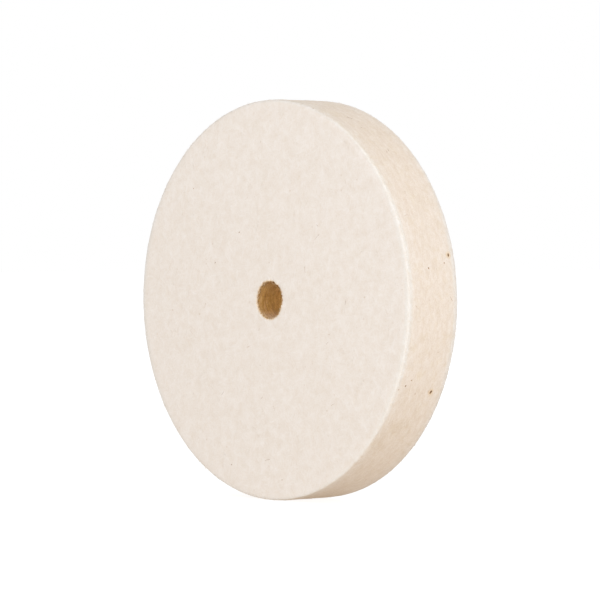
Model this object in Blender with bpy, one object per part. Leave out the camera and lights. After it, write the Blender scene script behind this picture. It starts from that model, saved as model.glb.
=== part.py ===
"""Felt polishing wheel: a thick disc of pressed wool felt whose bore is lined with hardened felt.

Run it with blender --background --python part.py, or from Blender's text editor.
Metres, +Z up. The origin is the middle of the wheel and +Y is the axis that it spins about.
The front face looks along -Y, the rear face along +Y.
"""

import math

import bmesh
import bpy

# The felt disc.
WHEEL_DIAMETER = 0.150
WHEEL_THICKNESS = 0.025
EDGE_RADIUS = 0.0013  # soft round between each face and the rim
MOUTH_RADIUS = 0.0006  # soft round of the felt at each mouth of the bore

# The bore and its lining, which is the felt that glue size has soaked and hardened.
BORE_DIAMETER = 0.014  # clear hole for the spindle
LINING_WALL = 0.001  # how deep the size has soaked into the felt
LINING_RECESS = 0.0003  # each end of the lining lies this far behind its face
LINING_EDGE_RADIUS = 0.0002
SEAT_CLEARANCE = 0.0003  # between the lining and the felt round it

# How finely the round shapes are cut.
DISC_SEGMENTS = 128
LINING_SEGMENTS = 64
ROUND_STEPS = 4  # per quarter round

# Colours are linear red, green, blue and alpha.
PRESSED_FELT = {"name": "pressed_felt", "colour": (0.84, 0.77, 0.68, 1.0), "roughness": 0.95}
HARDENED_FELT = {"name": "hardened_felt", "colour": (0.36, 0.19, 0.06, 1.0), "roughness": 0.7}


def finish_material(finish):
    """A Principled material of one plain colour, with no metal in it."""
    material = bpy.data.materials.new(finish["name"])
    material.use_nodes = True
    shader = material.node_tree.nodes["Principled BSDF"]
    shader.inputs["Base Color"].default_value = finish["colour"]
    shader.inputs["Roughness"].default_value = finish["roughness"]
    shader.inputs["Metallic"].default_value = 0.0
    return material


def quarter_round(corner, inward, radius):
    """Points that round a square corner of a profile, from along its first side to its second.

    corner is (distance from the axis, place along the axis), and inward holds the signs that
    point from the corner to the middle of the profile.
    """
    centre = [c + sign * radius for c, sign in zip(corner, inward)]
    points = []
    for step in range(ROUND_STEPS + 1):
        angle = math.pi / 2 * step / ROUND_STEPS
        points.append((centre[0] - inward[0] * radius * math.cos(angle),
                       centre[1] - inward[1] * radius * math.sin(angle)))
    return points


def ring_profile(inner_radius, outer_radius, length, inner_round, outer_round):
    """Closed profile of a ring centred on the origin, with its corners rounded."""
    half = length / 2
    return (
        quarter_round((outer_radius, half), (-1, -1), outer_round)
        + quarter_round((inner_radius, half), (1, -1), inner_round)[::-1]
        + quarter_round((inner_radius, -half), (1, 1), inner_round)
        + quarter_round((outer_radius, -half), (-1, 1), outer_round)[::-1]
    )


def turned_ring(name, profile, segments, finish):
    """One object made by spinning a closed profile a full turn about the wheel's axis."""
    shape = bmesh.new()
    corners = [shape.verts.new((radius, along, 0.0)) for radius, along in profile]
    sides = [shape.edges.new((a, b)) for a, b in zip(corners, corners[1:] + corners[:1])]
    bmesh.ops.spin(shape, geom=corners + sides, cent=(0, 0, 0), axis=(0, 1, 0),
                   angle=math.tau, steps=segments, use_merge=True)
    bmesh.ops.recalc_face_normals(shape, faces=shape.faces[:])
    mesh = bpy.data.meshes.new(name)
    shape.to_mesh(mesh)
    shape.free()
    mesh.shade_smooth()
    mesh.set_sharp_from_angle(angle=math.radians(30))
    mesh.materials.append(finish_material(finish))
    piece = bpy.data.objects.new(name, mesh)
    bpy.context.scene.collection.objects.link(piece)
    return piece


def felt_disc():
    """The working body: one block of pressed felt, cut round, trued and bored."""
    seat_radius = BORE_DIAMETER / 2 + LINING_WALL + SEAT_CLEARANCE
    profile = ring_profile(seat_radius, WHEEL_DIAMETER / 2, WHEEL_THICKNESS,
                           MOUTH_RADIUS, EDGE_RADIUS)
    return turned_ring("felt_disc", profile, DISC_SEGMENTS, PRESSED_FELT)


def bore_lining():
    """The hardened wall of the bore, which takes the wear and drive of the spindle."""
    bore_radius = BORE_DIAMETER / 2
    profile = ring_profile(bore_radius, bore_radius + LINING_WALL,
                           WHEEL_THICKNESS - 2 * LINING_RECESS,
                           LINING_EDGE_RADIUS, LINING_EDGE_RADIUS)
    return turned_ring("bore_lining", profile, LINING_SEGMENTS, HARDENED_FELT)


def main():
    for old in list(bpy.data.objects):
        bpy.data.objects.remove(old, do_unlink=True)
    wheel_axis = bpy.data.objects.new("wheel_axis", None)
    wheel_axis.empty_display_size = WHEEL_THICKNESS
    bpy.context.scene.collection.objects.link(wheel_axis)
    for piece in (felt_disc(), bore_lining()):
        piece.parent = wheel_axis


main()
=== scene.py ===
"""Looks of the felt polishing wheel: one thick disc of pressed wool felt with a hardened brown bore.

Metres, +Z up. The wheel spins about Y, and its front face looks along -Y.
"""

import math
import random

import bpy
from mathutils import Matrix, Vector


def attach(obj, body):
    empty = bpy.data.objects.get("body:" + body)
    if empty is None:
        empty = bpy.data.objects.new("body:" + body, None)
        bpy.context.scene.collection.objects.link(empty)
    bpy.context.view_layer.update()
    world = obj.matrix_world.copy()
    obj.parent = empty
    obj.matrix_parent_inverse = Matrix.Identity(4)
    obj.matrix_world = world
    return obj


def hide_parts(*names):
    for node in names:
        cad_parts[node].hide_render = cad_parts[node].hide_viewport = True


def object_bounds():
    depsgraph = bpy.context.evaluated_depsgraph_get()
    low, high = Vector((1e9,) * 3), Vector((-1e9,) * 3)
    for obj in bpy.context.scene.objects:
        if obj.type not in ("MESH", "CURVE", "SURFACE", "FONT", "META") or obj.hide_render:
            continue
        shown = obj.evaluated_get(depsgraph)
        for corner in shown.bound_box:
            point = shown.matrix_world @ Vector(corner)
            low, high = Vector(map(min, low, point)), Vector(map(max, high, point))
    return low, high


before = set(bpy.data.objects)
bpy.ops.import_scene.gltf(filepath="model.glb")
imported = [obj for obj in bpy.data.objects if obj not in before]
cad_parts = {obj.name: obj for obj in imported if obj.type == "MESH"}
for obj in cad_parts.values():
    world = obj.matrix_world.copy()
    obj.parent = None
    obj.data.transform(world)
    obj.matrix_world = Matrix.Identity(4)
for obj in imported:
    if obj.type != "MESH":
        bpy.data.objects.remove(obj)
cad_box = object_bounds()
MM = 0.001


# The studio. A white room that is lit from all round, a table that glows faintly from below, one large
# soft box beside the camera and a weaker one behind the wheel.

def plain(corner):
    """A box corner as a plain list, which JSON can write."""
    return [float(value) for value in corner]


wheel_low, wheel_high = (Vector(plain(corner)) for corner in cad_box)
wheel_middle = (wheel_low + wheel_high) / 2
wheel_radius = (wheel_high.x - wheel_low.x) / 2
half_thickness = (wheel_high.y - wheel_low.y) / 2

VIEW_AZIMUTH = math.radians(47.94)
VIEW_ELEVATION = math.radians(0.96)
VIEW_DISTANCE = 1.245
VIEW_LENS = 198.4  # long, so that the near and far sides of the wheel look nearly the same height
AIM_RIGHT = 2.27 * MM  # the wheel hangs a little left of the middle of the view
AIM_UP = -0.13 * MM


def direction(azimuth, elevation):
    """Unit vector from the wheel towards a place round it; azimuth 0 is in front of the front face."""
    return Vector((math.sin(azimuth) * math.cos(elevation),
                   -math.cos(azimuth) * math.cos(elevation),
                   math.sin(elevation)))


def aim(item, place, target):
    """Puts a camera or a lamp at a place, looking at the target with its top upwards."""
    item.location = place
    item.rotation_euler = (target - place).to_track_quat("-Z", "Y").to_euler()
    bpy.context.scene.collection.objects.link(item)


view_back = direction(VIEW_AZIMUTH, VIEW_ELEVATION)
view_right = Vector((math.cos(VIEW_AZIMUTH), math.sin(VIEW_AZIMUTH), 0.0))
view_up = view_back.cross(view_right)
camera = bpy.data.objects.new("camera", bpy.data.cameras.new("camera"))
camera.data.lens = VIEW_LENS
camera.data.clip_start = 0.01
aim(camera, wheel_middle + view_back * VIEW_DISTANCE,
    wheel_middle + view_right * AIM_RIGHT + view_up * AIM_UP)
bpy.context.scene.camera = camera

# name, azimuth and elevation in degrees, distance, width, height, watts
for lamp_name, azimuth, elevation, distance, width, height, power in (
        ("key_softbox", 48, 5, 2.2, 1.4, 0.5, 27.0),
        ("rear_softbox", 200, 20, 1.6, 1.2, 0.8, 9.0)):
    lamp = bpy.data.objects.new(lamp_name, bpy.data.lights.new(lamp_name, "AREA"))
    lamp.data.shape = "RECTANGLE"
    lamp.data.size = width
    lamp.data.size_y = height
    lamp.data.energy = power
    lamp_place = wheel_middle + direction(math.radians(azimuth), math.radians(elevation)) * distance
    aim(lamp, lamp_place, wheel_middle)


def add(tree, kind, inputs=None, **settings):
    """Places a node. inputs maps a socket's name or number to its value or to the socket that feeds it."""
    node = tree.nodes.new(kind)
    for name, value in settings.items():
        setattr(node, name, value)
    for key, value in (inputs or {}).items():
        if isinstance(value, bpy.types.NodeSocket):
            tree.links.new(value, node.inputs[key])
        else:
            node.inputs[key].default_value = value
    return node


WHITE = (1.0, 1.0, 1.0, 1.0)
WARM_BOUNCE = (1.0, 0.86, 0.71, 1.0)
ROOM_LIGHT = 0.70  # what the room gives the wheel, next to 1 for what the camera sees of it
ROOM_DARK = 0.08  # the same for the left rear of the room, which nothing lights
DARK_WAY = (-0.90, 0.42, 0.0)  # towards the middle of the dark part
DARK_START = 0.50  # how nearly a way has to point there before the room dims, and where it is darkest
DARK_FULL = 0.85
TABLE_LIGHT = 0.38
TABLE_SEEN = 0.86
TABLE_GREY = (0.3, 0.3, 0.3, 1.0)
TABLE_REACH = 8.0  # from the middle of the table to each side

world = bpy.data.worlds.new("white_room")
world.use_nodes = True
bpy.context.scene.world = world
bpy.context.scene.view_settings.view_transform = "Standard"
room = world.node_tree
room.nodes.clear()
room_seen = add(room, "ShaderNodeBackground", {"Color": WHITE, "Strength": 1.0})
room_way = add(room, "ShaderNodeVectorMath", {
    0: add(room, "ShaderNodeTexCoord").outputs["Generated"], 1: DARK_WAY}, operation="DOT_PRODUCT")
room_level = add(room, "ShaderNodeMapRange", {
    "Value": room_way.outputs["Value"], "From Min": DARK_START, "From Max": DARK_FULL,
    "To Min": ROOM_LIGHT, "To Max": ROOM_DARK}, interpolation_type="SMOOTHSTEP")
room_given = add(room, "ShaderNodeBackground", {"Color": WHITE, "Strength": room_level.outputs[0]})
room_mix = add(room, "ShaderNodeMixShader", {
    0: add(room, "ShaderNodeLightPath").outputs["Is Camera Ray"],
    1: room_given.outputs[0], 2: room_seen.outputs[0]})
add(room, "ShaderNodeOutputWorld", {"Surface": room_mix.outputs[0]})

table_mesh = bpy.data.meshes.new("table")
table_mesh.from_pydata([(x * TABLE_REACH, y * TABLE_REACH, wheel_low.z)
                        for x, y in ((-1, -1), (1, -1), (1, 1), (-1, 1))], [], [(0, 1, 2, 3)])
table = bpy.data.objects.new("table", table_mesh)
bpy.context.scene.collection.objects.link(table)
table_white = bpy.data.materials.new("table_white")
table_white.use_nodes = True
paint = table_white.node_tree
paint.nodes.clear()
table_sight = add(paint, "ShaderNodeLightPath").outputs["Is Camera Ray"]
table_seen = add(paint, "ShaderNodeEmission", {"Color": WHITE, "Strength": TABLE_SEEN})
table_given = add(paint, "ShaderNodeEmission", {"Color": WARM_BOUNCE, "Strength": TABLE_LIGHT})
table_glow = add(paint, "ShaderNodeMixShader", {
    0: table_sight, 1: table_given.outputs[0], 2: table_seen.outputs[0]})
table_matt = add(paint, "ShaderNodeBsdfDiffuse", {"Color": TABLE_GREY})
table_sum = add(paint, "ShaderNodeAddShader", {0: table_glow.outputs[0], 1: table_matt.outputs[0]})
add(paint, "ShaderNodeOutputMaterial", {"Surface": table_sum.outputs[0]})
table_mesh.materials.append(table_white)


# The felt. One block of wool, pressed hard and stiff in thin layers, cut round, trued on a lathe and
# bored. Its pressed faces are smooth and pale, its cut rim is warmer and rougher, and its edges are
# rubbed to a soft round.

SHOULDER_WIDTH = 3.4 * MM  # the face dips gently before the edge turns over, and so does the rim
# radius of the rounded edge, drop of the shoulder, degrees where the shoulder runs into the edge
FRONT_EDGE = (0.95 * MM, 0.17 * MM, 9)
REAR_EDGE = (0.65 * MM, 0.06 * MM, 4)  # less rubbed than the front edge
FACE_INSET = 0.15 * MM  # the pressed faces lie a little inside the nominal thickness
MOUTH_RADIUS = 0.4 * MM
BORE_RADIUS = 7.0 * MM
SEAT_RADIUS = 7.9 * MM  # hidden hole that takes the hardened lining
LIP_DEPTH = 0.5 * MM  # the felt reaches this far into the bore, over the end of the lining
RING_STEP = 0.94 * MM
INNER_RING = 12  # the first ring of the grid has 8 times as many points
WELD = 0.001 * MM


def arc(centre, radius, start, end, steps):
    """Points round part of a circle, from the start angle to the end angle in degrees."""
    angles = [math.radians(start + (end - start) * i / steps) for i in range(steps + 1)]
    return [(centre[0] + radius * math.cos(a), centre[1] + radius * math.sin(a)) for a in angles]


def stretch(start, end, step):
    """Points evenly along a straight stretch, without its two ends."""
    count = round(math.dist(start, end) / step)
    return [tuple(a + (b - a) * i / count for a, b in zip(start, end)) for i in range(1, count)]


def shoulder(start, end, even, steps):
    """Points from a flat start to a lower end along a parabola.

    even is the axis that changes evenly: 0, the radius, on the face, and 1, the depth, on the rim.
    """
    points = []
    for i in range(steps):
        part = i / steps
        eased = (part, part * part) if even == 0 else (part * part, part)
        points.append(tuple(a + (b - a) * e for a, b, e in zip(start, end, eased)))
    return points


front = FACE_INSET - half_thickness


def half_profile(radius, drop, slope):
    """The front half's outline: from the hidden hole, over the mouth and the edge, to the rim's middle."""
    mouth = arc((BORE_RADIUS + MOUTH_RADIUS, front + MOUTH_RADIUS), MOUTH_RADIUS, 180, 270, 4)
    inset = drop + radius * math.cos(math.radians(slope))
    edge = arc((wheel_radius - inset, front + inset), radius, slope - 90, -slope, 6)
    face_shoulder = shoulder((wheel_radius - SHOULDER_WIDTH, front), edge[0], 0, 4)
    rim_shoulder = shoulder((wheel_radius, front + SHOULDER_WIDTH), edge[-1], 1, 4)[::-1]
    rim_middle = (wheel_radius, 0.0)
    return (
        [(SEAT_RADIUS, 0.0), (SEAT_RADIUS, front + LIP_DEPTH), (BORE_RADIUS, front + LIP_DEPTH)]
        + mouth
        + stretch(mouth[-1], face_shoulder[0], RING_STEP)
        + face_shoulder
        + edge
        + rim_shoulder
        + stretch(rim_shoulder[-1], rim_middle, RING_STEP)
        + [rim_middle]
    )


rear_profile = [(out, -deep) for out, deep in half_profile(*REAR_EDGE)]
felt_profile = half_profile(*FRONT_EDGE) + rear_profile


def calc(tree, operation, *terms):
    """A Math node's answer."""
    return add(tree, "ShaderNodeMath", dict(enumerate(terms)), operation=operation).outputs[0]


def vector_calc(tree, operation, *terms, scale=None):
    """A Vector Math node's answer."""
    inputs = dict(enumerate(terms))
    if scale is not None:
        inputs["Scale"] = scale
    answer = "Value" if operation in ("LENGTH", "DISTANCE") else "Vector"
    return add(tree, "ShaderNodeVectorMath", inputs, operation=operation).outputs[answer]


def new_tree(name, kind, given, made):
    """A node group of the kind named, with its sockets; returns it, its input node and its output node."""
    tree = bpy.data.node_groups.new(name, kind)
    for in_out, sockets in (("OUTPUT", made), ("INPUT", given)):
        for socket, socket_kind in sockets:
            tree.interface.new_socket(socket, in_out=in_out, socket_type="NodeSocket" + socket_kind)
    return tree, tree.nodes.new("NodeGroupInput"), tree.nodes.new("NodeGroupOutput")


def grow(name, base_mesh, tree, values):
    """Runs a tree on a base mesh with the given inputs and returns the result as a plain mesh object."""
    base = bpy.data.objects.new(name + "_base", base_mesh)
    bpy.context.scene.collection.objects.link(base)
    nodes = base.modifiers.new("nodes", "NODES")
    nodes.node_group = tree
    for item in tree.interface.items_tree:
        if item.in_out == "INPUT" and item.name in values:
            nodes[item.identifier] = values[item.name]
    base.data.update()
    bpy.context.view_layer.update()
    evaluated = base.evaluated_get(bpy.context.evaluated_depsgraph_get())
    mesh = bpy.data.meshes.new_from_object(evaluated)
    bpy.data.objects.remove(base)
    mesh.name = name
    piece = bpy.data.objects.new(name, mesh)
    bpy.context.scene.collection.objects.link(piece)
    return piece


def points_mesh(name, points):
    """A mesh of loose points, which a tree reads one by one."""
    mesh = bpy.data.meshes.new(name)
    mesh.from_pydata(points, [], [])
    return mesh


def relief(tree, geometry, layers):
    """Pushes a surface in and out along its normal by noise layers of (height, period, squeeze, seed)."""
    position = add(tree, "GeometryNodeInputPosition").outputs[0]
    push = 0.0
    for height, period, squeeze, seed in layers:
        squeezed = vector_calc(tree, "MULTIPLY", position, squeeze)
        noise = add(tree, "ShaderNodeTexNoise",
                    {"Vector": squeezed, "W": seed, "Scale": calc(tree, "DIVIDE", 1.0, period),
                     "Detail": 2.0, "Distortion": 0.6},
                    noise_dimensions="4D").outputs[0]
        push = calc(tree, "MULTIPLY_ADD", calc(tree, "SUBTRACT", noise, 0.5), height, push)
    normal = add(tree, "GeometryNodeInputNormal").outputs[0]
    offset = vector_calc(tree, "SCALE", normal, scale=push)
    return add(tree, "GeometryNodeSetPosition", {"Geometry": geometry, "Offset": offset}).outputs[0]


def swung(tree, profile, number, across, up):
    """Where a point of a profile lands: its radius is shared between X and Z, and its depth is kept."""
    point = add(tree, "GeometryNodeSampleIndex",
                {"Geometry": profile, "Value": add(tree, "GeometryNodeInputPosition").outputs[0],
                 "Index": number}, data_type="FLOAT_VECTOR").outputs[0]
    radius, depth, _ = add(tree, "ShaderNodeSeparateXYZ", {0: point}).outputs
    return add(tree, "ShaderNodeCombineXYZ", {
        0: calc(tree, "MULTIPLY", radius, across), 1: depth,
        2: calc(tree, "MULTIPLY", radius, up)}).outputs[0]


def end_tree(tree, geometry, given, result):
    """Smooths a tree's finished shape, gives it its material and hands it out."""
    smooth = add(tree, "GeometryNodeSetShadeSmooth", {"Geometry": geometry, "Shade Smooth": True})
    finished = add(tree, "GeometryNodeSetMaterial",
                   {"Geometry": smooth.outputs[0], "Material": given.outputs["Material"]})
    tree.links.new(finished.outputs[0], result.inputs[0])


def turned_on_a_square_grid():
    """Turns a front and then a rear profile, each from its inner to its outer mid-plane point.

    Square rings of a flat grid become round rings of the wheel, so that the squares keep one size
    from the bore to the rim. Ring by ring, the radius and depth come from the profile's points.
    """
    tree, given, result = new_tree("turned_on_a_square_grid", "GeometryNodeTree", (
        ("Profile", "Geometry"), ("Inner Ring", "Int"), ("Lump Height", "Float"),
        ("Lump Period", "Float"), ("Tangle Height", "Float"), ("Tangle Period", "Float"),
        ("Mouth Tear", "Float"), ("Mouth Reach", "Float"), ("Seed", "Float"),
        ("Material", "Material")), (("Wheel", "Geometry"),))
    profile = given.outputs["Profile"]
    inner = given.outputs["Inner Ring"]
    points = add(tree, "GeometryNodeAttributeDomainSize", {"Geometry": profile}).outputs["Point Count"]
    rings = calc(tree, "DIVIDE", points, 2.0)
    outer = calc(tree, "ADD", inner, calc(tree, "SUBTRACT", rings, 1.0))
    width = calc(tree, "MULTIPLY", outer, 2.0)
    count = calc(tree, "ADD", width, 1.0)
    grid = add(tree, "GeometryNodeMeshGrid",
               {"Size X": width, "Size Y": width, "Vertices X": count, "Vertices Y": count}).outputs[0]

    place = add(tree, "ShaderNodeSeparateXYZ", {0: add(tree, "GeometryNodeInputPosition").outputs[0]})
    across, along = place.outputs[0], place.outputs[1]
    across_size = calc(tree, "ABSOLUTE", across)
    along_size = calc(tree, "ABSOLUTE", along)
    ring = calc(tree, "ROUND", calc(tree, "MAXIMUM", across_size, along_size))
    inside = calc(tree, "LESS_THAN", ring, calc(tree, "SUBTRACT", inner, 0.5))
    grid = add(tree, "GeometryNodeDeleteGeometry", {"Geometry": grid, "Selection": inside}).outputs[0]

    def eighth_turn(rise, run):
        """The way out from the middle through a grid point, as a part along its run and one across."""
        angle = calc(tree, "MULTIPLY", calc(tree, "DIVIDE", rise, run), math.pi / 4)
        side = calc(tree, "SIGN", run)
        return (calc(tree, "MULTIPLY", side, calc(tree, "COSINE", angle)),
                calc(tree, "MULTIPLY", side, calc(tree, "SINE", angle)))

    side_x, side_z = eighth_turn(along, across)
    top_z, top_x = eighth_turn(across, along)
    is_side = calc(tree, "COMPARE", ring, across_size, 0.4)
    pick_x = add(tree, "GeometryNodeSwitch", {0: is_side, 1: top_x, 2: side_x}, input_type="FLOAT")
    pick_z = add(tree, "GeometryNodeSwitch", {0: is_side, 1: top_z, 2: side_z}, input_type="FLOAT")

    halves = []
    for first_point in (0.0, rings):
        point_number = calc(tree, "ADD", calc(tree, "SUBTRACT", ring, inner), first_point)
        round_place = swung(tree, profile, point_number, pick_x.outputs[0], pick_z.outputs[0])
        halves.append(add(tree, "GeometryNodeSetPosition",
                          {"Geometry": grid, "Position": round_place}).outputs[0])
    flipped = add(tree, "GeometryNodeFlipFaces", {0: halves[1]}).outputs[0]
    both = add(tree, "GeometryNodeJoinGeometry")
    tree.links.new(halves[0], both.inputs[0])
    tree.links.new(flipped, both.inputs[0])
    whole = add(tree, "GeometryNodeMergeByDistance",
                {"Geometry": both.outputs[0], "Distance": WELD}).outputs[0]
    seed = given.outputs["Seed"]
    position = add(tree, "GeometryNodeInputPosition").outputs[0]
    flat_place = vector_calc(tree, "MULTIPLY", position, (1.0, 0.0, 1.0))
    # The mouth is torn most at its lip, and not at all from its reach outwards.
    mouth = add(tree, "ShaderNodeMapRange",
                {"Value": vector_calc(tree, "LENGTH", flat_place), "From Min": given.outputs["Mouth Reach"],
                 "From Max": calc(tree, "SUBTRACT", given.outputs["Mouth Reach"], 0.5 * MM), "To Min": 0.0,
                 "To Max": given.outputs["Mouth Tear"]}).outputs[0]
    whole = relief(tree, whole, (
        (mouth, 1.2 * MM, (1.0, 0.3, 1.0), calc(tree, "ADD", seed, 11.0)),
        (given.outputs["Lump Height"], given.outputs["Lump Period"], (1.0, 2.0, 1.0), seed),
        (given.outputs["Tangle Height"], given.outputs["Tangle Period"], (1.0, 1.6, 1.0),
         calc(tree, "ADD", seed, 7.0))))
    end_tree(tree, whole, given, result)
    return tree


def noise_at(tree, vector, period, detail=2.0, roughness=0.5, distortion=0.0):
    """A noise texture's value, whose lumps are about a period across."""
    return add(tree, "ShaderNodeTexNoise",
               {"Vector": vector, "Scale": 1.0 / period, "Detail": detail, "Roughness": roughness,
                "Distortion": distortion}).outputs[0]


def spread(tree, value, low, high, new_low=0.0, new_high=1.0, smooth=False):
    """Stretches the part of a value between low and high to a new range, and clips the rest."""
    return add(tree, "ShaderNodeMapRange",
               {"Value": value, "From Min": low, "From Max": high, "To Min": new_low, "To Max": new_high},
               interpolation_type="SMOOTHSTEP" if smooth else "LINEAR").outputs[0]


def blend(tree, factor, first, second, kind="MIX"):
    """A mix of two colours."""
    node = add(tree, "ShaderNodeMix", {0: factor}, data_type="RGBA", blend_type=kind)
    for socket, value in ((node.inputs[6], first), (node.inputs[7], second)):
        if isinstance(value, bpy.types.NodeSocket):
            tree.links.new(value, socket)
        else:
            socket.default_value = value
    return node.outputs[2]


def wool_group():
    """Wool as a solid pattern: clumps, and strands that lie in thin layers parallel to the faces."""
    tree, given, result = new_tree("wool", "ShaderNodeTree", (("Vector", "Vector"), ("Strand", "Float")), (
        ("Clumps", "Float"), ("Strands", "Float"), ("Grain", "Float"), ("Height", "Float")))
    layered = vector_calc(tree, "MULTIPLY", given.outputs["Vector"], (1.0, 2.1, 1.0))
    clumps = noise_at(tree, layered, 3.4 * MM, detail=4.0, roughness=0.65, distortion=0.4)
    strands = None
    for turn in (12, 74, 131):
        turned = add(tree, "ShaderNodeMapping",
                     {"Vector": layered, "Rotation": (0.0, math.radians(turn), 0.0),
                      "Location": (turn * MM, 0.0, 0.0)}).outputs[0]
        drawn = vector_calc(tree, "MULTIPLY", turned, (0.22, 1.0, 1.0))
        strand = add(tree, "ShaderNodeTexNoise",
                     {"Vector": drawn, "Scale": calc(tree, "DIVIDE", 1.0, given.outputs["Strand"]),
                      "Detail": 1.5, "Distortion": 0.9}).outputs[0]
        strands = strand if strands is None else calc(tree, "MAXIMUM", strands, strand)
    grain = noise_at(tree, layered, 0.55 * MM, detail=1.0)
    height = calc(tree, "MULTIPLY_ADD", grain, 0.35, strands)
    for name, value in (("Clumps", clumps), ("Strands", strands), ("Grain", grain), ("Height", height)):
        tree.links.new(value, result.inputs[name])
    return tree


wool = wool_group()


def wool_of(tree, strand_width):
    """Places the wool group on the object's own coordinates; returns the coordinates and the group node."""
    vector = add(tree, "ShaderNodeTexCoord").outputs["Object"]
    node = add(tree, "ShaderNodeGroup", node_tree=wool)
    tree.links.new(vector, node.inputs["Vector"])
    node.inputs["Strand"].default_value = strand_width
    return vector, node.outputs


NOISE_MIDDLE = 0.5
STRANDS_MIDDLE = 0.6  # higher, because the strands are the highest of three noises


def wool_tone(tree, wool_parts, clump_share, strand_share, grain_share):
    """How much lighter or darker the wool is than its mean, as a part of 1."""
    tone = calc(tree, "MULTIPLY", calc(tree, "SUBTRACT", wool_parts["Clumps"], NOISE_MIDDLE), clump_share)
    strand_tone = calc(tree, "SUBTRACT", wool_parts["Strands"], STRANDS_MIDDLE)
    tone = calc(tree, "MULTIPLY_ADD", strand_tone, strand_share, tone)
    grain_tone = calc(tree, "SUBTRACT", wool_parts["Grain"], NOISE_MIDDLE)
    return calc(tree, "MULTIPLY_ADD", grain_tone, grain_share, tone)


def toned(tree, colour, tone, tint):
    """A colour made lighter or darker by a tone; the tint says how far each channel follows it."""
    shift = vector_calc(tree, "SCALE", tint, scale=tone)
    return vector_calc(tree, "MULTIPLY", colour, vector_calc(tree, "ADD", shift, (1.0, 1.0, 1.0)))


def new_material(name, roughness, specular, sheen):
    """A rough material with a little fuzz; returns it, its tree and its shader."""
    material = bpy.data.materials.new(name)
    material.use_nodes = True
    shader = material.node_tree.nodes["Principled BSDF"]
    shader.inputs["Roughness"].default_value = roughness
    shader.inputs["Specular IOR Level"].default_value = specular
    shader.inputs["Sheen Weight"].default_value = sheen
    shader.inputs["Sheen Roughness"].default_value = 0.5
    return material, material.node_tree, shader


def feed(tree, shader, colour, height, depth):
    """Joins a colour and a bumpy height, in metres when it is multiplied by depth, to the shader."""
    tree.links.new(colour, shader.inputs["Base Color"])
    bump = add(tree, "ShaderNodeBump", {"Strength": 1.0, "Distance": depth, "Height": height})
    tree.links.new(bump.outputs[0], shader.inputs["Normal"])


def on_rim_at(turn, depth):
    """A place on the rim: degrees round the wheel from +X towards +Z, and metres behind the middle."""
    angle = math.radians(turn)
    return Vector((math.cos(angle) * wheel_radius, depth, math.sin(angle) * wheel_radius))


def on_face_at(radius, turn):
    """A place on the front face: metres out from the axis, and degrees round from +X towards +Z."""
    angle = math.radians(turn)
    return Vector((math.cos(angle) * radius, front, math.sin(angle) * radius))


FACE_CREAM = (0.843, 0.782, 0.725, 1.0)
FACE_LIT_CREAM = (0.859, 0.801, 0.748, 1.0)
RIM_CREAM = (0.850, 0.755, 0.665, 1.0)
RIM_SHADE_YELLOW = (0.848, 0.735, 0.625, 1.0)
EDGE_HIGHLIGHT_CREAM = (0.820, 0.785, 0.742, 1.0)
SIZED_BROWN = (0.45, 0.26, 0.085, 1.0)
AMBER = (0.80, 0.60, 0.36, 1.0)
STRAW = (0.79, 0.665, 0.485, 1.0)
OLIVE = (0.62, 0.47, 0.27, 1.0)
FLECK_BROWN = (0.46, 0.29, 0.16, 1.0)
WOOL_TINT = (0.70, 1.00, 1.40)  # dark places are browner as well as darker
FACE_TONE = (0.22, 0.18, 0.09)  # shares of the clumps, the strands and the grain in the mottle
RIM_TONE = (0.36, 0.12, 0.28)
LEVEL = 0.30 * wheel_radius  # the rim's painted shade and the edge's painted highlight change from this height above or below the axis
STEEP = 0.80 * wheel_radius  # and have changed fully here
BURR_PLACES = (on_rim_at(13.1, 9.2 * MM), on_rim_at(-25.9, 5.9 * MM))
# where, reach, strength and colour of each stain in the rim
STAINS = ((BURR_PLACES[0], 1.8 * MM, 0.6, AMBER), (BURR_PLACES[1], 1.8 * MM, 0.6, AMBER),
          (on_rim_at(-37.5, -3.5 * MM), 6.0 * MM, 0.16, OLIVE),
          (on_rim_at(-43.0, -8.5 * MM), 6.0 * MM, 0.15, OLIVE),
          (on_rim_at(-20.5, -2.4 * MM), 2.8 * MM, 0.32, STRAW),
          (on_rim_at(-9.9, -4.5 * MM), 2.8 * MM, 0.14, OLIVE),
          (on_rim_at(68.0, -7.0 * MM), 6.0 * MM, 0.22, STRAW),
          (on_rim_at(75.0, 3.0 * MM), 6.0 * MM, 0.22, STRAW))

felt_material, felt_tree, felt_shader = new_material("pressed_felt", 0.95, 0.1, 0.10)
spot, wool_parts = wool_of(felt_tree, 0.85 * MM)
across = vector_calc(felt_tree, "MULTIPLY", spot, (1.0, 0.0, 1.0))
out_from_axis = vector_calc(felt_tree, "LENGTH", across)
_, behind, up = add(felt_tree, "ShaderNodeSeparateXYZ", {0: spot}).outputs
off_axis = calc(felt_tree, "ABSOLUTE", up)
depth_in = calc(felt_tree, "SUBTRACT", -front, calc(felt_tree, "ABSOLUTE", behind))
rim_in = calc(felt_tree, "SUBTRACT", wheel_radius, out_from_axis)
rim_side = calc(felt_tree, "SUBTRACT", depth_in, rim_in)
on_rim = spread(felt_tree, rim_side, -0.3 * MM, 0.5 * MM, smooth=True)
edge_gap = calc(felt_tree, "MAXIMUM", depth_in, rim_in)
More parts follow.
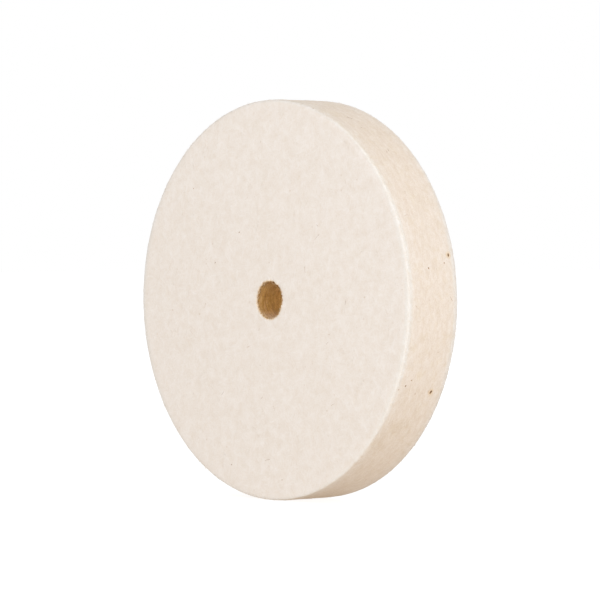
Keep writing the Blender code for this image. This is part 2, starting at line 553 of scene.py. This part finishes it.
# Painted highlight: the rounded edges, and a band of the rim beside them, are painted a paler, less yellow
# cream. It is widest and strongest level with the axis, where the key light strikes the edge, and narrower
# and weaker towards the top and the bottom.
highlight_reach = spread(felt_tree, off_axis, LEVEL, STEEP, 3.2 * MM, 1.5 * MM)
highlight_strength = spread(felt_tree, off_axis, LEVEL, STEEP, 1.0, 0.65)
edge_highlight_band = spread(felt_tree, edge_gap, 0.6 * MM, highlight_reach, highlight_strength, 0.0, smooth=True)
rim_highlight_band = spread(felt_tree, edge_gap, 1.0 * MM, 6.0 * MM, 0.25, 0.0)
painted_edge_highlight = calc(felt_tree, "MAXIMUM", edge_highlight_band, calc(felt_tree, "MULTIPLY", rim_highlight_band, on_rim))

# Painted shade: the rim is painted yellower towards its top and bottom, away from the key light's level, to
# stand in for the warmer look of its less lit parts.
rim_painted_shade = spread(felt_tree, off_axis, LEVEL, STEEP)
rim_cream = blend(felt_tree, rim_painted_shade, RIM_CREAM, RIM_SHADE_YELLOW)
# Painted light: the front face is painted paler towards its top, where more light falls on it.
face_painted_light = spread(felt_tree, up, -0.6 * wheel_radius, 0.9 * wheel_radius)
face_cream = blend(felt_tree, face_painted_light, FACE_CREAM, FACE_LIT_CREAM)
cream = blend(felt_tree, on_rim, face_cream, rim_cream)
cream = blend(felt_tree, painted_edge_highlight, cream, EDGE_HIGHLIGHT_CREAM)

# Old stains: faint straw blotches all over the rim, a few larger ones, and amber round each burr.
blotches = spread(felt_tree, noise_at(felt_tree, spot, 2.2 * MM, detail=3.0), 0.50, 0.72, 0.0, 0.26)
cream = blend(felt_tree, calc(felt_tree, "MULTIPLY", blotches, on_rim), cream, STRAW)
patches = spread(felt_tree, noise_at(felt_tree, spot, 5.0 * MM, detail=4.0), 0.52, 0.66, 0.0, 0.07)
cream = blend(felt_tree, calc(felt_tree, "MULTIPLY", patches, on_rim), cream, OLIVE)
uneven = calc(felt_tree, "SUBTRACT", wool_parts["Clumps"], NOISE_MIDDLE)
for place, reach, strength, colour in STAINS:
    gap = vector_calc(felt_tree, "DISTANCE", spot, tuple(place))
    gap = calc(felt_tree, "MULTIPLY_ADD", uneven, 1.3 * reach, gap)
    stain = spread(felt_tree, gap, 0.22 * reach, reach, strength, 0.0, smooth=True)
    cream = blend(felt_tree, calc(felt_tree, "MULTIPLY", stain, on_rim), cream, colour)

# Flecks of bark and seed, each in a cell of a cell pattern that a random number has picked.
flecks = add(felt_tree, "ShaderNodeTexVoronoi", {"Vector": spot, "Scale": 1.0 / (4.0 * MM)})
fleck_draw = add(felt_tree, "ShaderNodeSeparateColor", {0: flecks.outputs["Color"]}).outputs
fleck_picked = spread(felt_tree, fleck_draw[0], 0.70, 0.95)
fleck_near = spread(felt_tree, flecks.outputs["Distance"], 0.06, 0.13, 1.0, 0.0)
fleck_depth = spread(felt_tree, on_rim, 0.0, 1.0, 0.30, 0.62)
fleck = calc(felt_tree, "MULTIPLY", calc(felt_tree, "MULTIPLY", fleck_near, fleck_picked), fleck_depth)
cream = blend(felt_tree, fleck, cream, FLECK_BROWN)

# The hardener has crept a little way out of the bore into the mouth.
strand_rise = calc(felt_tree, "SUBTRACT", wool_parts["Strands"], STRANDS_MIDDLE)
crept = calc(felt_tree, "MULTIPLY_ADD", strand_rise, 1.4 * MM, out_from_axis)
halo = spread(felt_tree, crept, BORE_RADIUS + 0.1 * MM, BORE_RADIUS + 0.9 * MM, 0.60, 0.0, smooth=True)
cream = blend(felt_tree, halo, cream, AMBER)
sized = spread(felt_tree, crept, BORE_RADIUS - 0.10 * MM, BORE_RADIUS + 0.12 * MM, 1.0, 0.0)
cream = blend(felt_tree, sized, cream, SIZED_BROWN)

face_tone = wool_tone(felt_tree, wool_parts, *FACE_TONE)
rim_tone = wool_tone(felt_tree, wool_parts, *RIM_TONE)
tone = calc(felt_tree, "MULTIPLY_ADD", calc(felt_tree, "SUBTRACT", rim_tone, face_tone), on_rim, face_tone)

# The rim shows the ends of the wool and not its length, so its bumps are clumps and grain.
rim_bumps = calc(felt_tree, "MULTIPLY_ADD", wool_parts["Clumps"], 1.4, wool_parts["Grain"])
bumps_change = calc(felt_tree, "SUBTRACT", rim_bumps, wool_parts["Height"])
bumps = calc(felt_tree, "MULTIPLY_ADD", bumps_change, on_rim, wool_parts["Height"])
feed(felt_tree, felt_shader, toned(felt_tree, cream, tone, WOOL_TINT), bumps, 0.10 * MM)

felt = grow("felt_body", points_mesh("felt_profile", [(r, y, 0.0) for r, y in felt_profile]),
            turned_on_a_square_grid(),
            {"Inner Ring": INNER_RING, "Lump Height": 0.08 * MM, "Lump Period": 7 * MM,
             "Tangle Height": 0.07 * MM, "Tangle Period": 2.2 * MM,
             "Mouth Tear": 1.9 * MM, "Mouth Reach": SEAT_RADIUS - 0.1 * MM, "Seed": 3.0,
             "Material": felt_material})
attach(felt, "root")
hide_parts("felt_disc")


# The bore lining. The same wool, soaked with hardener for about a millimetre all round the bore and
# baked brown, then reamed to size. The reamer leaves fine rings. The top of the bore and the middle of
# its length are painted lighter, painted light that makes up for the shade there, and the bottom of
# the bore is lighter as well.

LINING_OUTER = 7.85 * MM
LINING_END = -front - LIP_DEPTH - 0.02 * MM
LINING_STEP = 0.2 * MM
LINING_BACK_STEP = 8 * MM  # the hidden outside has no grooves to show
LINING_TURNS = 144

lining_profile = (
    [(BORE_RADIUS, -LINING_END)]
    + stretch((BORE_RADIUS, -LINING_END), (BORE_RADIUS, LINING_END), LINING_STEP)
    + [(BORE_RADIUS, LINING_END), (LINING_OUTER, LINING_END)]
    + stretch((LINING_OUTER, LINING_END), (LINING_OUTER, -LINING_END), LINING_BACK_STEP)
    + [(LINING_OUTER, -LINING_END)]
)


def turned_ring():
    """Turns a closed profile of points about the Y axis; a grid is rolled up both ways and welded."""
    tree, given, result = new_tree("turned_ring", "GeometryNodeTree", (
        ("Profile", "Geometry"), ("Turns", "Int"), ("Groove Height", "Float"), ("Groove Period", "Float"),
        ("Groove Reach", "Float"), ("Seed", "Float"), ("Material", "Material")), (("Ring", "Geometry"),))
    profile = given.outputs["Profile"]
    count = add(tree, "GeometryNodeAttributeDomainSize", {"Geometry": profile}).outputs["Point Count"]
    turns = given.outputs["Turns"]
    grid = add(tree, "GeometryNodeMeshGrid",
               {"Size X": 1.0, "Size Y": 1.0, "Vertices X": calc(tree, "ADD", turns, 1.0),
                "Vertices Y": calc(tree, "ADD", count, 1.0)}).outputs[0]
    position = add(tree, "GeometryNodeInputPosition").outputs[0]
    place = add(tree, "ShaderNodeSeparateXYZ", {0: position}).outputs
    angle = calc(tree, "MULTIPLY", place[0], -2 * math.pi)
    step = calc(tree, "ROUND", calc(tree, "MULTIPLY", calc(tree, "ADD", place[1], 0.5), count))
    round_place = swung(tree, profile, calc(tree, "FLOORED_MODULO", step, count),
                        calc(tree, "COSINE", angle), calc(tree, "SINE", angle))
    rolled = add(tree, "GeometryNodeSetPosition", {"Geometry": grid, "Position": round_place}).outputs[0]
    welded = add(tree, "GeometryNodeMergeByDistance",
                 {"Geometry": rolled, "Distance": WELD}).outputs[0]

    # Rings that run nearly straight round, deepest in the middle of the wall and none at the ends.
    parts = add(tree, "ShaderNodeSeparateXYZ", {0: position}).outputs
    drawn = vector_calc(tree, "MULTIPLY", position, (0.12, 1.0, 0.12))
    noise = add(tree, "ShaderNodeTexNoise",
                {"Vector": drawn, "W": given.outputs["Seed"], "Detail": 2.0,
                 "Scale": calc(tree, "DIVIDE", 1.0, given.outputs["Groove Period"])},
                noise_dimensions="4D").outputs[0]
    ease = add(tree, "ShaderNodeMapRange",
               {"Value": calc(tree, "ABSOLUTE", parts[1]), "From Min": given.outputs["Groove Reach"],
                "From Max": calc(tree, "MULTIPLY", given.outputs["Groove Reach"], 0.9)}).outputs[0]
    push = calc(tree, "MULTIPLY", calc(tree, "MULTIPLY", calc(tree, "SUBTRACT", noise, 0.5), ease),
                given.outputs["Groove Height"])
    normal = add(tree, "GeometryNodeInputNormal").outputs[0]
    grooved = add(tree, "GeometryNodeSetPosition",
                  {"Geometry": welded, "Offset": vector_calc(tree, "SCALE", normal, scale=push)}).outputs[0]
    end_tree(tree, grooved, given, result)
    return tree


LINING_DARK = (0.440, 0.236, 0.058, 1.0)
LINING_DEEP_LIT = (0.75, 0.45, 0.133, 1.0)
LINING_TOP_LIT = (0.86, 0.56, 0.20, 1.0)
LINING_MOUTH = (0.56, 0.34, 0.13, 1.0)
LINING_FUZZ = (0.78, 0.53, 0.31, 1.0)
LINING_TONE = (0.9, 1.0, 0.9)  # shares of the clumps, the strands and the grain
LINING_TINT = (0.8, 1.0, 1.2)

lining_material, lining_tree, lining_shader = new_material("hardened_felt", 0.75, 0.25, 0.15)
spot, wool_parts = wool_of(lining_tree, 0.5 * MM)
parts = add(lining_tree, "ShaderNodeSeparateXYZ", {0: spot}).outputs
from_end = calc(lining_tree, "SUBTRACT", half_thickness, calc(lining_tree, "ABSOLUTE", parts[1]))
# Painted light: from 7 mm in towards the middle of its length the wall is painted lighter, making up for
# the shade deep in the bore where the key light reaches less.
brown = blend(lining_tree, spread(lining_tree, from_end, 7.0 * MM, 12.0 * MM), LINING_DARK, LINING_DEEP_LIT)
brown = blend(lining_tree, spread(lining_tree, from_end, 0.8 * MM, 3.0 * MM, 1.0, 0.0), brown, LINING_MOUTH)
# Painted light: the top of the bore's wall is painted lighter, to make up for the shade that falls there.
bore_top_painted_light = spread(lining_tree, parts[2], 0.3 * BORE_RADIUS, BORE_RADIUS, 0.0, 0.45)
brown = blend(lining_tree, bore_top_painted_light, brown, LINING_TOP_LIT)
ringed = vector_calc(lining_tree, "MULTIPLY", spot, (0.10, 1.0, 0.10))
rings = noise_at(lining_tree, ringed, 0.9 * MM, detail=3.0, distortion=0.4)
# Pale fuzz colour in random clumps, and more of it towards the bottom of the bore, which is lighter.
worn = spread(lining_tree, wool_parts["Clumps"], 0.52, 0.75, 0.0, 0.30)
bottom_lighter = spread(lining_tree, parts[2], -0.55 * BORE_RADIUS, -BORE_RADIUS, 0.0, 0.85)
brown = blend(lining_tree, calc(lining_tree, "MAXIMUM", worn, bottom_lighter), brown, LINING_FUZZ)
tone = wool_tone(lining_tree, wool_parts, *LINING_TONE)
tone = calc(lining_tree, "MULTIPLY_ADD", calc(lining_tree, "SUBTRACT", rings, NOISE_MIDDLE), 1.3, tone)
lining_height = calc(lining_tree, "MULTIPLY_ADD", rings, 1.2, wool_parts["Height"])
feed(lining_tree, lining_shader, toned(lining_tree, brown, tone, LINING_TINT), lining_height, 0.16 * MM)

lining = grow("bore_lining_skin", points_mesh("lining_profile", [(r, y, 0.0) for r, y in lining_profile]),
              turned_ring(),
              {"Turns": LINING_TURNS, "Groove Height": 0.12 * MM, "Groove Period": 0.9 * MM,
               "Groove Reach": LINING_END, "Seed": 5.0, "Material": lining_material})
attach(lining, "root")
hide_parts("bore_lining")


# The loose wool. A few thousand fibre ends that the press has left lying on the faces, the rim and most
# of all on the rubbed edges, each a thin bent strand of uneven length.

LOOSE_PALE = (0.88, 0.83, 0.77, 1.0)
LOOSE_WARM = (0.83, 0.74, 0.63, 1.0)


def named(tree, name, kind):
    """Reads an attribute that the points carry."""
    return add(tree, "GeometryNodeInputNamedAttribute", {"Name": name}, data_type=kind).outputs[0]


def strewn(kind):
    """Sets a fibre or a chip on every point, laid along the surface, and bends it by noise."""
    tree, given, result = new_tree("strewn_" + kind, "GeometryNodeTree", (
        ("Places", "Geometry"), ("Curl", "Float"), ("Curl Period", "Float"), ("Lift", "Float"),
        ("Seed", "Float"), ("Material", "Material")), (("Strewn", "Geometry"),))
    if kind == "fibre":
        line = add(tree, "GeometryNodeCurvePrimitiveLine",
                   {"Start": (-0.5, 0.0, 0.0), "End": (0.5, 0.0, 0.0)})
        line = add(tree, "GeometryNodeResampleCurve", {"Curve": line.outputs[0], "Count": 6})
        ring = add(tree, "GeometryNodeCurvePrimitiveCircle", {"Resolution": 3, "Radius": 0.5})
        shape = add(tree, "GeometryNodeCurveToMesh",
                    {"Curve": line.outputs[0], "Profile Curve": ring.outputs[0], "Fill Caps": True})
    else:
        shape = add(tree, "GeometryNodeMeshIcoSphere", {"Radius": 0.5, "Subdivisions": 3})
    along = add(tree, "FunctionNodeAlignRotationToVector",
                {"Vector": named(tree, "along", "FLOAT_VECTOR")}, axis="X")
    facing = add(tree, "FunctionNodeAlignRotationToVector",
                 {"Rotation": along.outputs[0], "Vector": named(tree, "out", "FLOAT_VECTOR")},
                 axis="Z", pivot_axis="X")
    laid = add(tree, "GeometryNodeInstanceOnPoints",
               {"Points": given.outputs["Places"], "Instance": shape.outputs[0],
                "Rotation": facing.outputs[0], "Scale": named(tree, "size", "FLOAT_VECTOR")})
    real = add(tree, "GeometryNodeRealizeInstances", {0: laid.outputs[0]}).outputs[0]
    noise = add(tree, "ShaderNodeTexNoise",
                {"Vector": add(tree, "GeometryNodeInputPosition").outputs[0], "W": given.outputs["Seed"],
                 "Scale": calc(tree, "DIVIDE", 1.0, given.outputs["Curl Period"]), "Detail": 1.0},
                noise_dimensions="4D").outputs["Color"]
    way = vector_calc(tree, "SUBTRACT", noise, (0.5, 0.5, 0.5))
    out = named(tree, "out", "FLOAT_VECTOR")
    rise = add(tree, "ShaderNodeVectorMath", {0: way, 1: out}, operation="DOT_PRODUCT").outputs["Value"]
    flat = vector_calc(tree, "SUBTRACT", way, vector_calc(tree, "SCALE", out, scale=rise))
    push = vector_calc(tree, "SCALE", flat, scale=given.outputs["Curl"])
    lift = vector_calc(tree, "SCALE", out, scale=calc(tree, "MULTIPLY", rise, given.outputs["Lift"]))
    bent = add(tree, "GeometryNodeSetPosition",
               {"Geometry": real, "Offset": vector_calc(tree, "ADD", push, lift)}).outputs[0]
    end_tree(tree, bent, given, result)
    return tree


fibre_tree = strewn("fibre")


def places_mesh(name, places):
    """Points for a tree to set shapes on. A place is where, the way out, the way along, and the size."""
    mesh = points_mesh(name, [tuple(place[0]) for place in places])
    for number, attribute in ((1, "out"), (2, "along"), (3, "size")):
        layer = mesh.attributes.new(attribute, "FLOAT_VECTOR", "POINT")
        layer.data.foreach_set("vector", [value for place in places for value in place[number]])
    return mesh


def lying(out, turn):
    """A way that lies in a surface, turned by an angle in radians from one fixed way."""
    level = out.cross(Vector((0.0, 0.0, 1.0)) if abs(out.z) < 0.9 else Vector((1.0, 0.0, 0.0))).normalized()
    return level * math.cos(turn) + out.cross(level) * math.sin(turn)


def round_way(turn):
    """Straight out from the axis, at degrees round from +X towards +Z."""
    return Vector((math.cos(math.radians(turn)), 0.0, math.sin(math.radians(turn))))


def drawn_place(draw, where):
    """A random point on a face, on the rim or on a rounded edge, and the way out of the felt there."""
    side = draw.choice((-1.0, 1.0))
    turn = draw.uniform(0.0, 360.0)
    if where == "face":
        radius = math.sqrt(draw.uniform((BORE_RADIUS + 2 * MM) ** 2, (wheel_radius - SHOULDER_WIDTH) ** 2))
        return round_way(turn) * radius + Vector((0.0, -side * front, 0.0)), Vector((0.0, side, 0.0))
    if where == "rim":
        behind = draw.uniform(front + SHOULDER_WIDTH, -front - SHOULDER_WIDTH)
        return round_way(turn) * wheel_radius + Vector((0.0, behind, 0.0)), round_way(turn)
    radius, drop, slope = FRONT_EDGE if side < 0 else REAR_EDGE
    inset = drop + radius * math.cos(math.radians(slope))
    lean = math.radians(draw.uniform(slope, 90 - slope))
    out = round_way(turn) * math.cos(lean) + Vector((0.0, side * math.sin(lean), 0.0))
    middle = round_way(turn) * (wheel_radius - inset) + Vector((0.0, -side * (front + inset), 0.0))
    return middle + out * radius, out


draw = random.Random(11)
loose_places = []
# where the ends lie, how many, and the shortest and longest of them
for where, count, shortest, longest in (
        ("face", 2900, 1.2 * MM, 4.5 * MM), ("rim", 450, 1.2 * MM, 4.0 * MM),
        ("edge", 900, 0.8 * MM, 2.6 * MM)):
    for _ in range(count):
        point, out = drawn_place(draw, where)
        width = draw.uniform(0.035, 0.060) * MM
        turn = draw.gauss(90.0, 26.0) if where == "rim" else draw.uniform(0.0, 180.0)
        loose_places.append((point + out * 0.03 * MM, out, lying(out, math.radians(turn)),
                             (draw.uniform(shortest, longest), width, width)))

loose_material, loose_tree, loose_shader = new_material("loose_wool", 0.9, 0.1, 0.10)
spot, wool_parts = wool_of(loose_tree, 0.85 * MM)
loose_colour = blend(loose_tree, spread(loose_tree, noise_at(loose_tree, spot, 6.0 * MM), 0.35, 0.65),
                     LOOSE_PALE, LOOSE_WARM)
feed(loose_tree, loose_shader, loose_colour, wool_parts["Grain"], 0.01 * MM)

loose = grow("loose_fibres", places_mesh("loose_places", loose_places), fibre_tree,
             {"Curl": 1.6 * MM, "Curl Period": 2.4 * MM, "Lift": 0.5 * MM, "Seed": 2.0,
              "Material": loose_material})
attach(loose, "root")


# The kemp. Coarse brown hairs that came in with the fleece and were pressed flat with the wool, a few of
# them here and there on the faces and the rim.

KEMP_DARK = (0.30, 0.18, 0.10, 1.0)
KEMP_LIGHT = (0.50, 0.33, 0.20, 1.0)
FRONT_WAY = Vector((0.0, -1.0, 0.0))

draw = random.Random(29)
kemp_places = []
for where, count in (("face", 30), ("rim", 14)):
    for _ in range(count):
        point, out = drawn_place(draw, where)
        width = draw.uniform(0.06, 0.11) * MM
        kemp_places.append((point + out * 0.02 * MM, out, lying(out, draw.uniform(0.0, math.pi)),
                            (draw.uniform(0.6, 2.2) * MM, width, width)))
# radius on the front face, degrees round, degrees the hair is turned, length
for radius, turn, tilt, length in ((35.2 * MM, 42, 40, 3.0 * MM), (22.7 * MM, 30, 100, 2.4 * MM),
                                   (60.0 * MM, -91, 15, 2.6 * MM), (37.1 * MM, -176, 70, 1.8 * MM)):
    kemp_places.append((on_face_at(radius, turn), FRONT_WAY, lying(FRONT_WAY, math.radians(tilt)),
                        (length, 0.10 * MM, 0.10 * MM)))

kemp_material, kemp_tree, kemp_shader = new_material("kemp_brown", 0.6, 0.3, 0.0)
spot, wool_parts = wool_of(kemp_tree, 0.85 * MM)
kemp_colour = blend(kemp_tree, spread(kemp_tree, noise_at(kemp_tree, spot, 12.0 * MM), 0.4, 0.6),
                    KEMP_DARK, KEMP_LIGHT)
feed(kemp_tree, kemp_shader, kemp_colour, wool_parts["Grain"], 0.01 * MM)

kemp = grow("kemp_hairs", places_mesh("kemp_places", kemp_places), fibre_tree,
            {"Curl": 1.0 * MM, "Curl Period": 2.0 * MM, "Lift": 0.1 * MM, "Seed": 8.0,
             "Material": kemp_material})
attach(kemp, "root")


# The burrs and specks. Chips of seed case and bark pressed flat into the wool and cut through with it:
# two dark burrs in the rim, half sunk, and a handful of small paler specks.

BURR_DARK = (0.11, 0.050, 0.018, 1.0)
BURR_LIGHT = (0.29, 0.15, 0.058, 1.0)
SPECK_DARK = (0.26, 0.16, 0.09, 1.0)
SPECK_LIGHT = (0.50, 0.33, 0.19, 1.0)

chip_tree = strewn("chip")
# for each chip its place, the degrees it is turned, and its size in millimetres
for name, places, dark, light in (
        ("burrs", ((BURR_PLACES[0], 80, (1.35, 0.66, 0.4)), (BURR_PLACES[1], 62, (1.45, 0.64, 0.4))),
         BURR_DARK, BURR_LIGHT),
        ("specks", ((on_rim_at(-23.7, -7.9 * MM), 40, (0.80, 0.60, 0.2)),
                    (on_rim_at(-22.0, -5.8 * MM), 10, (0.70, 0.50, 0.2)),
                    (on_rim_at(9.4, -1.6 * MM), 70, (0.70, 0.55, 0.2)),
                    (on_rim_at(10.8, 6.6 * MM), 90, (0.60, 0.45, 0.2)),
                    (on_face_at(60.8 * MM, 136), 20, (0.65, 0.50, 0.2)),
                    (on_face_at(30.6 * MM, 124), 75, (0.55, 0.45, 0.2)),
                    (on_face_at(34.0 * MM, 156), 50, (0.55, 0.40, 0.2)),
                    (on_face_at(66.3 * MM, -109), 95, (0.60, 0.40, 0.2)),
                    (on_face_at(67.4 * MM, -84), 130, (0.50, 0.40, 0.2))),
         SPECK_DARK, SPECK_LIGHT)):
    chip_places = []
    for place, tilt, size in places:
        on_face = place.y == front
        out = FRONT_WAY if on_face else Vector((place.x, 0.0, place.z)).normalized()
        chip_places.append((place, out, lying(out, math.radians(tilt)), [part * MM for part in size]))
    chip_material, chip_shades, chip_shader = new_material(name + "_brown", 0.7, 0.3, 0.0)
    spot, wool_parts = wool_of(chip_shades, 0.3 * MM)
    chip_colour = blend(chip_shades, spread(chip_shades, wool_parts["Clumps"], 0.4, 0.65), dark, light)
    feed(chip_shades, chip_shader, chip_colour, wool_parts["Height"], 0.08 * MM)
    chips = grow(name, places_mesh(name + "_places", chip_places), chip_tree,
                 {"Curl": 0.5 * MM, "Curl Period": 0.7 * MM, "Lift": 0.2 * MM, "Seed": 4.0,
                  "Material": chip_material})
    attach(chips, "root")


# The torn wool of the bore mouths. Where the reamer broke out of the faces it left short stiff ends
# standing into the hole, brown with hardener.

MOUTH_FIBRES = 110  # at each end of the bore
MOUTH_TUFTS = 34
TORN_DARK = (0.34, 0.17, 0.05, 1.0)
TORN_LIGHT = (0.82, 0.64, 0.42, 1.0)

draw = random.Random(17)
torn_places = []
for side in (-1.0, 1.0):
    out = Vector((0.0, side, 0.0))
    for _ in range(MOUTH_FIBRES):
        turn = draw.uniform(0.0, 360.0)
        inward = -round_way(turn)
        sideways = out.cross(inward)
        lean = math.radians(draw.gauss(0.0, 35.0))
        along = inward * math.cos(lean) + sideways * math.sin(lean) + out * draw.uniform(-0.5, 0.2)
        width = draw.uniform(0.07, 0.18) * MM
        length = draw.uniform(0.6, 1.6) * MM
        point = -inward * (BORE_RADIUS - 0.15 * length + draw.uniform(-0.05, 0.15) * MM)
        point += out * (-front - draw.uniform(0.05, 0.35) * MM)
        torn_places.append((point, out, along.normalized(), (length, width, width)))
    # Wider tufts that hang over the lip.
    for _ in range(MOUTH_TUFTS):
        turn = draw.uniform(0.0, 360.0)
        point = round_way(turn) * (BORE_RADIUS - draw.uniform(0.0, 0.15) * MM)
        point += out * (-front - draw.uniform(0.10, 0.30) * MM)
        size = (draw.uniform(0.7, 1.3) * MM, draw.uniform(0.25, 0.55) * MM, 0.18 * MM)
        torn_places.append((point, out, -round_way(turn), size))

torn_material, torn_tree, torn_shader = new_material("sized_wool", 0.75, 0.2, 0.0)
spot, wool_parts = wool_of(torn_tree, 0.5 * MM)
torn_colour = blend(torn_tree, spread(torn_tree, noise_at(torn_tree, spot, 0.8 * MM), 0.35, 0.65),
                    TORN_DARK, TORN_LIGHT)
feed(torn_tree, torn_shader, torn_colour, wool_parts["Grain"], 0.01 * MM)

torn = grow("mouth_fibres", places_mesh("torn_places", torn_places), fibre_tree,
            {"Curl": 0.6 * MM, "Curl Period": 0.9 * MM, "Lift": 0.3 * MM, "Seed": 6.0,
             "Material": torn_material})
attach(torn, "root")
